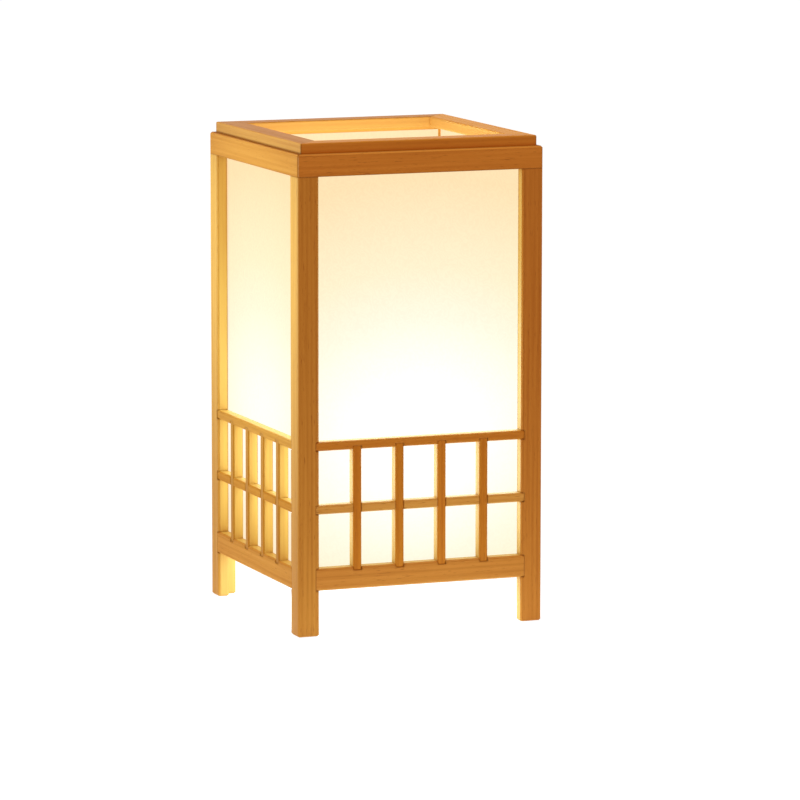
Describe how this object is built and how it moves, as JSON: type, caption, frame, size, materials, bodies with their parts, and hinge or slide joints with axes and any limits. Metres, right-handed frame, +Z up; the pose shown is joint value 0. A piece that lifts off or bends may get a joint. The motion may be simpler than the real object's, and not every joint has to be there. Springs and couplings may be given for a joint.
{
  "type": "table lamp",
  "caption": "Square wooden post-and-rail lantern lamp lined with paper, with a slatted lower band, a mitred open top and a screw bulb on a cross board.",
  "frame": {"origin": "on the floor, at the middle of the four feet", "axes": "+Z up, +X to the right along the front face, front face towards -Y"},
  "size_m": [0.216, 0.216, 0.4064],
  "materials": {
    "wood": "clear satin lacquer on light close-grained wood",
    "paper": "translucent fibre paper",
    "zinc_steel": "bright zinc plate",
    "porcelain": "white glaze",
    "phenolic": "moulded black, satin",
    "brass": "pressed sheet, bright",
    "cap_metal": "pressed, bright",
    "insulator": "black gloss",
    "white_plastic": "moulded white, satin",
    "opal_plastic": "opal diffuser, lit"
  },
  "bodies": {
    "lantern": {"front_left_post": "wood", "front_right_post": "wood", "back_right_post": "wood", "back_left_post": "wood", "front_bottom_rail": "wood", "front_top_rail": "wood", "front_cap_rail": "wood", "front_sill_rail": "wood", "front_mid_bar": "wood", "front_slat_1": "wood", "front_slat_2": "wood", "front_slat_3": "wood", "front_slat_4": "wood", "front_paper": "paper", "right_bottom_rail": "wood", "right_top_rail": "wood", "right_cap_rail": "wood", "right_sill_rail": "wood", "right_mid_bar": "wood", "right_slat_1": "wood", "right_slat_2": "wood", "right_slat_3": "wood", "right_slat_4": "wood", "right_paper": "paper", "back_bottom_rail": "wood", "back_top_rail": "wood", "back_cap_rail": "wood", "back_sill_rail": "wood", "back_mid_bar": "wood", "back_slat_1": "wood", "back_slat_2": "wood", "back_slat_3": "wood", "back_slat_4": "wood", "back_paper": "paper", "left_bottom_rail": "wood", "left_top_rail": "wood", "left_cap_rail": "wood", "left_sill_rail": "wood", "left_mid_bar": "wood", "left_slat_1": "wood", "left_slat_2": "wood", "left_slat_3": "wood", "left_slat_4": "wood", "left_paper": "paper", "cap_pegs": "wood", "lamp_board": "wood", "threaded_tube": "zinc_steel", "lock_nut": "zinc_steel", "holder_base": "porcelain", "holder_sleeve": "phenolic", "screw_shell": "brass", "centre_contact": "brass"},
    "bulb": {"bulb_tip": "cap_metal", "bulb_insulator": "insulator", "bulb_cap": "cap_metal", "bulb_collar": "white_plastic", "bulb_diffuser": "opal_plastic"}
  },
  "joints": [
    {"name": "bulb_lift", "type": "slide", "parent": "lantern", "child": "bulb", "axis": [0, 0, 1], "range_m": [0, 0.345]}
  ]
}
